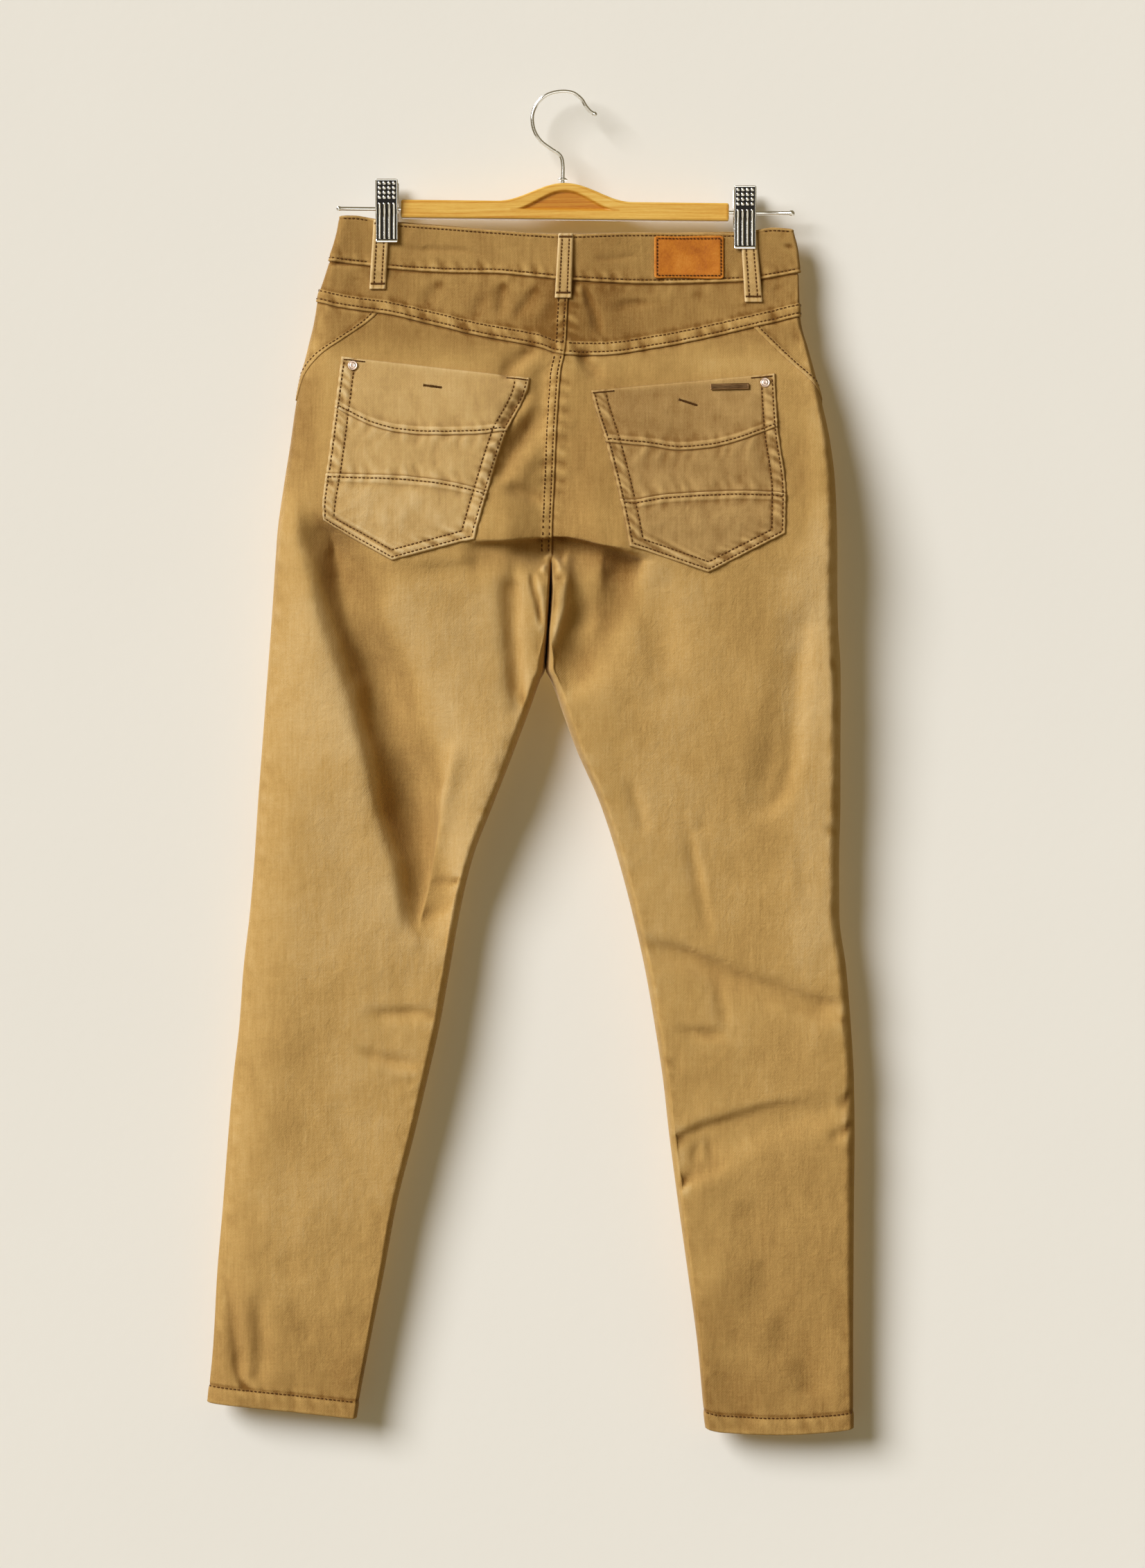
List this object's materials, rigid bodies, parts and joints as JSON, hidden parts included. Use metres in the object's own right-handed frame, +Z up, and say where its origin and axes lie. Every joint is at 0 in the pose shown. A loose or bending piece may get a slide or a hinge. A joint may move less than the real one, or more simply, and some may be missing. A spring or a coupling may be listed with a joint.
{
  "type": "slim trousers on a wooden clip hanger",
  "caption": "Slim five-pocket trousers hung flat by the waistband from a wooden bar hanger with two spring clips and a wire hook.",
  "frame": {"origin": "inner top of the hanger's hook, on the middle of the wire, where a rail carries it", "axes": "+Z up; the garment's back faces -Y and its fly faces +Y; +X is the wearer's right, seen from behind"},
  "size_m": [0.5425, 0.0616, 1.1269],
  "materials": {
    "cloth": "garment-washed cotton twill, tan, matt, paler on its seam edges",
    "trim_cloth": "the same twill, paler where it stands proud",
    "leather": "smooth tan leather, semi-matt, plain",
    "wood": "clear-varnished pale wood",
    "chrome": "bright plated steel",
    "copper": "worn copper-coloured rivets",
    "bronze": "dark antiqued brass"
  },
  "bodies": {
    "root": {"back_left": "cloth", "back_right": "cloth", "front_left": "cloth", "front_right": "cloth", "yoke_left": "cloth", "yoke_right": "cloth", "hip_left": "cloth", "hip_right": "cloth", "waistband_back": "cloth", "waistband_front_left": "cloth", "waistband_front_right": "cloth", "fly_shield": "cloth", "belt_loop_back_left": "trim_cloth", "belt_loop_back_centre": "trim_cloth", "belt_loop_back_right": "trim_cloth", "belt_loop_front_left": "trim_cloth", "belt_loop_front_right": "trim_cloth", "pocket_left_band": "trim_cloth", "pocket_left_body": "trim_cloth", "pocket_left_foot": "trim_cloth", "pocket_right_band": "trim_cloth", "pocket_right_body": "trim_cloth", "pocket_right_foot": "trim_cloth", "leather_patch": "leather", "rivet_left": "copper", "rivet_right": "copper", "label_bar": "bronze", "button": "bronze", "hanger_bar": "wood", "hanger_hook": "chrome", "hook_collar": "chrome", "rod_left": "chrome", "rod_right": "chrome", "clip_left_near": "chrome", "clip_left_far": "chrome", "clip_left_spring": "chrome", "clip_right_near": "chrome", "clip_right_far": "chrome", "clip_right_spring": "chrome"}
  },
  "joints": []
}
